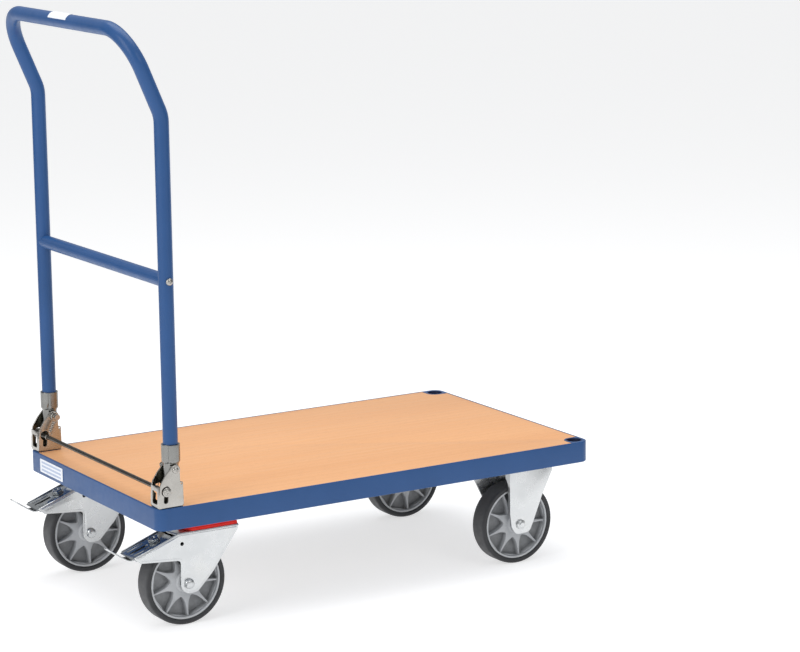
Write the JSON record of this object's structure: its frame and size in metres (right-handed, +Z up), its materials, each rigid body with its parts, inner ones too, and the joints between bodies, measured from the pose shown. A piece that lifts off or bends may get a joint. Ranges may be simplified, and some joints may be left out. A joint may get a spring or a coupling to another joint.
{
  "type": "folding platform cart",
  "caption": "Folding platform cart: steel edge frame with a wooden deck, tubular push handle that folds onto the deck, foot lock bar, braked swivel casters and fixed casters.",
  "frame": {"origin": "middle of the whole object's box in plan, on the floor under the wheels", "axes": "+Z up, +X from the handle end to the far end, +Y to the left of someone pushing the cart"},
  "size_m": [1.005, 0.5576, 1.097],
  "materials": {
    "blue_paint": "smooth semi-gloss powder coat",
    "beech_board": "satin beech-decor board",
    "zinc_steel": "bright zinc plated, satin",
    "bracket_steel": "nickel-toned plated, satin to bright",
    "rubber": "matt grey rubber",
    "nylon_rim": "moulded grey nylon",
    "red_seal": "moulded red plastic",
    "navy_plastic": "moulded navy plastic",
    "white_film": "blank printed film"
  },
  "bodies": {
    "platform": {"corner_socket_left": "navy_plastic", "corner_socket_right": "navy_plastic", "deck_board": "beech_board", "fixed_fork_left": "zinc_steel", "fixed_fork_right": "zinc_steel", "fixed_left_axle_bolt": "zinc_steel", "fixed_left_axle_nut": "zinc_steel", "fixed_right_axle_bolt": "zinc_steel", "fixed_right_axle_nut": "zinc_steel", "handle_pivot_bolt_left": "zinc_steel", "handle_pivot_bolt_right": "zinc_steel", "hinge_bracket_left": "bracket_steel", "hinge_bracket_right": "bracket_steel", "identification_label": "white_film", "kingpin_left": "zinc_steel", "kingpin_right": "zinc_steel", "lock_spring_left": "zinc_steel", "lock_spring_right": "zinc_steel", "platform_frame": "blue_paint", "swivel_plate_left": "zinc_steel", "swivel_plate_right": "zinc_steel"},
    "handle": {"crossbar_screw_left": "zinc_steel", "crossbar_screw_right": "zinc_steel", "handle_bow": "blue_paint", "handle_crossbar": "blue_paint", "handle_sticker": "white_film", "hinge_tube_left": "bracket_steel", "hinge_tube_right": "bracket_steel"},
    "foot_lock": {"foot_lock_bar": "bracket_steel", "lock_bar_end_bolt_left": "zinc_steel", "lock_bar_end_bolt_right": "zinc_steel"},
    "caster_right": {"swivel_fork_right": "zinc_steel", "swivel_right_axle_bolt": "zinc_steel", "swivel_right_axle_nut": "zinc_steel", "swivel_seal_right": "red_seal"},
    "brake_right": {"brake_adjusting_screw_right": "zinc_steel", "brake_pedal_right": "zinc_steel", "brake_release_lever_right": "zinc_steel", "brake_shoe_right": "bracket_steel"},
    "swivel_wheel_right": {"swivel_wheel_right_bush": "zinc_steel", "swivel_wheel_right_rim": "nylon_rim", "swivel_wheel_right_tyre": "rubber"},
    "fixed_wheel_right": {"fixed_wheel_right_bush": "zinc_steel", "fixed_wheel_right_rim": "nylon_rim", "fixed_wheel_right_tyre": "rubber"},
    "caster_left": {"swivel_fork_left": "zinc_steel", "swivel_left_axle_bolt": "zinc_steel", "swivel_left_axle_nut": "zinc_steel", "swivel_seal_left": "red_seal"},
    "brake_left": {"brake_adjusting_screw_left": "zinc_steel", "brake_pedal_left": "zinc_steel", "brake_release_lever_left": "zinc_steel", "brake_shoe_left": "bracket_steel"},
    "swivel_wheel_left": {"swivel_wheel_left_bush": "zinc_steel", "swivel_wheel_left_rim": "nylon_rim", "swivel_wheel_left_tyre": "rubber"},
    "fixed_wheel_left": {"fixed_wheel_left_bush": "zinc_steel", "fixed_wheel_left_rim": "nylon_rim", "fixed_wheel_left_tyre": "rubber"}
  },
  "joints": [
    {"name": "handle_fold", "type": "hinge", "parent": "platform", "child": "handle", "pos_m": [-0.3921, 0, 0.3043], "axis": [0, 1, 0], "range_deg": [0, 94.5]},
    {"name": "foot_lock_press", "type": "slide", "parent": "platform", "child": "foot_lock", "axis": [-0.1064, 0, -0.9943], "range_m": [-0.006, 0.0165], "stiffness_N_per_m": 1500, "springref_m": -0.0015, "deforming": ["lock_spring_right", "lock_spring_left"]},
    {"name": "caster_swivel_right", "type": "hinge", "parent": "platform", "child": "caster_right", "pos_m": [-0.3095, -0.205, 0.1956], "axis": [0, 0, 1], "continuous": true},
    {"name": "brake_press_right", "type": "hinge", "parent": "caster_right", "child": "brake_right", "pos_m": [-0.3635, -0.205, 0.1555], "axis": [0, -1, 0], "range_deg": [0, 7]},
    {"name": "swivel_wheel_spin_right", "type": "hinge", "parent": "caster_right", "child": "swivel_wheel_right", "pos_m": [-0.3518, -0.205, 0.08], "axis": [0, 1, 0], "continuous": true},
    {"name": "fixed_wheel_spin_right", "type": "hinge", "parent": "platform", "child": "fixed_wheel_right", "pos_m": [0.3675, -0.205, 0.08], "axis": [0, 1, 0], "continuous": true},
    {"name": "caster_swivel_left", "type": "hinge", "parent": "platform", "child": "caster_left", "pos_m": [-0.3095, 0.205, 0.1956], "axis": [0, 0, 1], "continuous": true},
    {"name": "brake_press_left", "type": "hinge", "parent": "caster_left", "child": "brake_left", "pos_m": [-0.3635, 0.205, 0.1555], "axis": [0, -1, 0], "range_deg": [0, 7]},
    {"name": "swivel_wheel_spin_left", "type": "hinge", "parent": "caster_left", "child": "swivel_wheel_left", "pos_m": [-0.3518, 0.205, 0.08], "axis": [0, 1, 0], "continuous": true},
    {"name": "fixed_wheel_spin_left", "type": "hinge", "parent": "platform", "child": "fixed_wheel_left", "pos_m": [0.3675, 0.205, 0.08], "axis": [0, 1, 0], "continuous": true}
  ]
}
